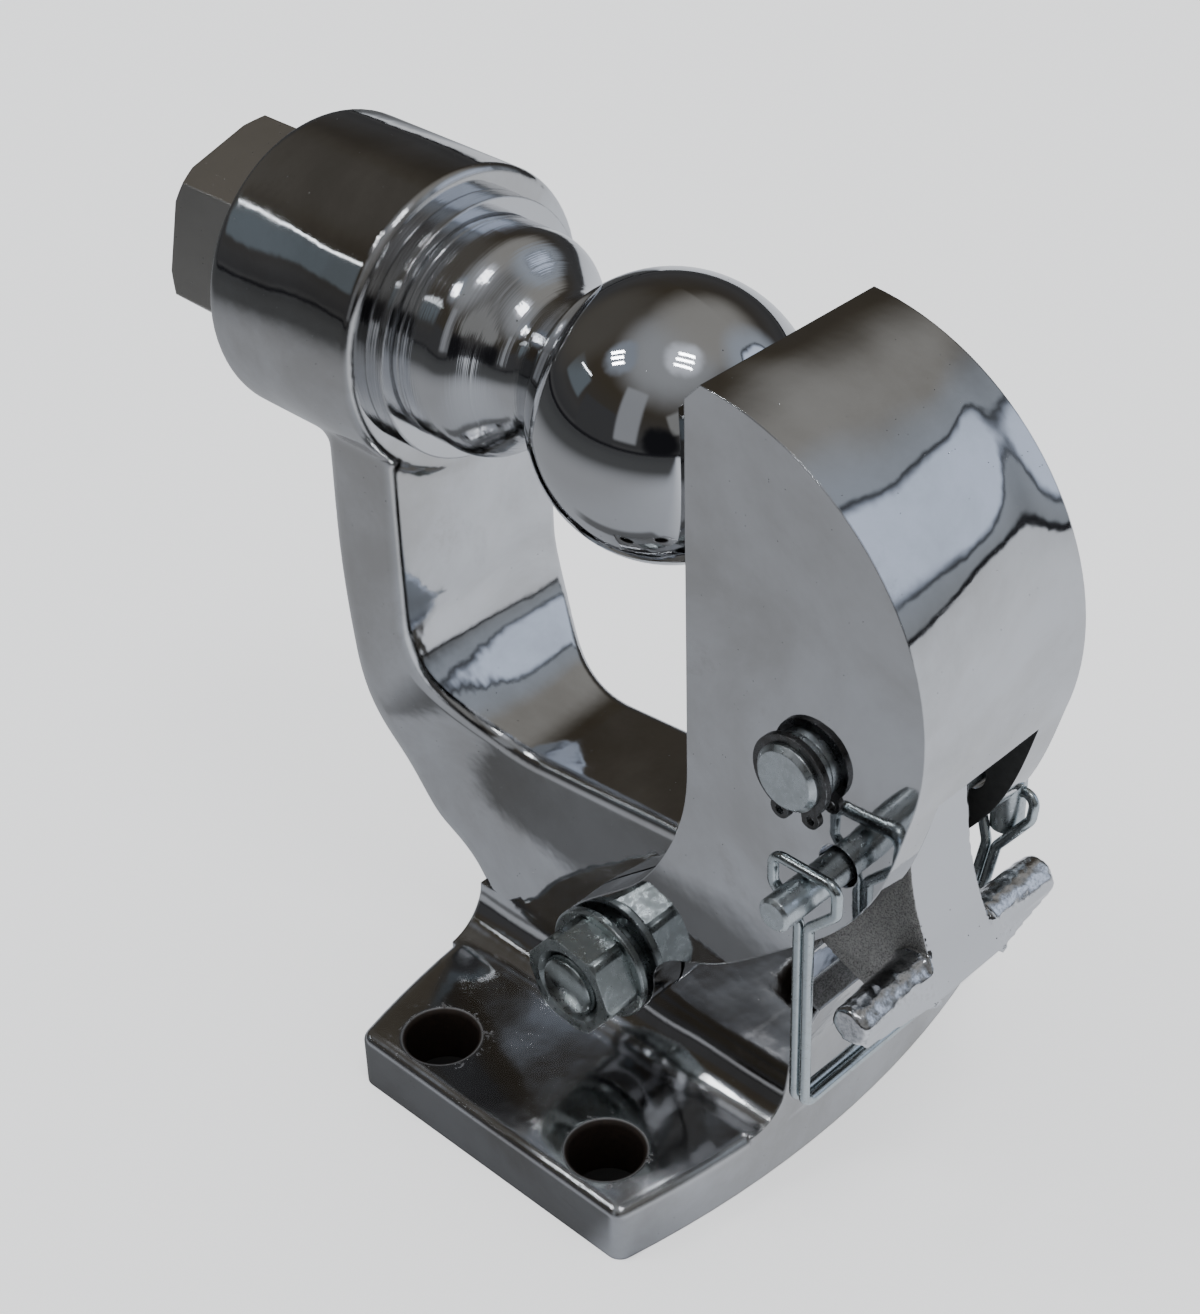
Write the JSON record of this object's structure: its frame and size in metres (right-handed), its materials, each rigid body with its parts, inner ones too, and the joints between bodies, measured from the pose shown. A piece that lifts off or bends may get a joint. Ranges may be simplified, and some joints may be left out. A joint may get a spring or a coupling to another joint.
{
  "type": "trailer hook",
  "caption": "combination tow hook: a cast body with a tow ball across its throat, a jaw that swings over the ball, and a spring latch with a wire lock pin",
  "frame": {"origin": "centre of the four-hole bolt pattern, on the mounting face", "axes": "+Z stands off the mounting face, +X runs from the ball's shank towards the jaw, Y is the line of the jaw's pivot, with the pivot's nut at -Y"},
  "size_m": [0.1836, 0.1066, 0.173],
  "materials": {
    "body_chrome": "mirror-polished hard chrome over a cast body, with smudges and worn rims",
    "ball_chrome": "bright polished chrome",
    "jaw_chrome": "mirror-polished chrome, slightly hazy on the flat cheeks",
    "nut_satin": "satin chrome-plated steel",
    "latch_cast": "rough as-cast sides and handles under bright plating, polished back",
    "zinc_plate": "clear zinc plating, cool grey",
    "zinc_wire": "drawn zinc-plated spring wire",
    "ring_steel": "dark oiled spring steel",
    "spring_steel": "plain spring steel"
  },
  "bodies": {
    "root": {"hook_body": "body_chrome", "tow_ball": "ball_chrome", "ball_nut": "nut_satin", "pivot_sleeve": "zinc_plate", "pivot_washer_near": "zinc_plate", "pivot_washer_far": "zinc_plate", "pivot_nut": "zinc_plate", "pivot_bolt": "zinc_plate"},
    "jaw": {"jaw": "jaw_chrome", "latch_pin": "zinc_plate", "latch_pin_ring_near": "ring_steel", "latch_pin_ring_far": "ring_steel", "latch_spring": "spring_steel"},
    "latch": {"latch_handle": "latch_cast"},
    "lock_pin": {"lock_pin": "zinc_plate"},
    "bail": {"wire_bail": "zinc_wire"}
  },
  "joints": [
    {"name": "jaw_hinge", "type": "hinge", "parent": "root", "child": "jaw", "pos_m": [0.0032, 0, 0.0349], "axis": [0, 1, 0], "range_deg": [0, 40]},
    {"name": "latch_hinge", "type": "hinge", "parent": "jaw", "child": "latch", "pos_m": [0.0495, 0, 0.1055], "axis": [0, 1, 0], "range_deg": [-20, 0], "stiffness_Nm_per_rad": 1.2, "springref_deg": 68.75},
    {"name": "lock_pin_slide", "type": "slide", "parent": "jaw", "child": "lock_pin", "axis": [0, 1, 0], "range_m": [0, 0.0065]},
    {"name": "bail_hinge", "type": "hinge", "parent": "lock_pin", "child": "bail", "pos_m": [0.0576, 0.02747, 0.0768], "axis": [1, 0, 0], "range_deg": [-2, 0]}
  ],
  "couplings": [
    {"joint": "latch_hinge", "follows": "jaw_hinge", "ratio": -0.5}
  ]
}
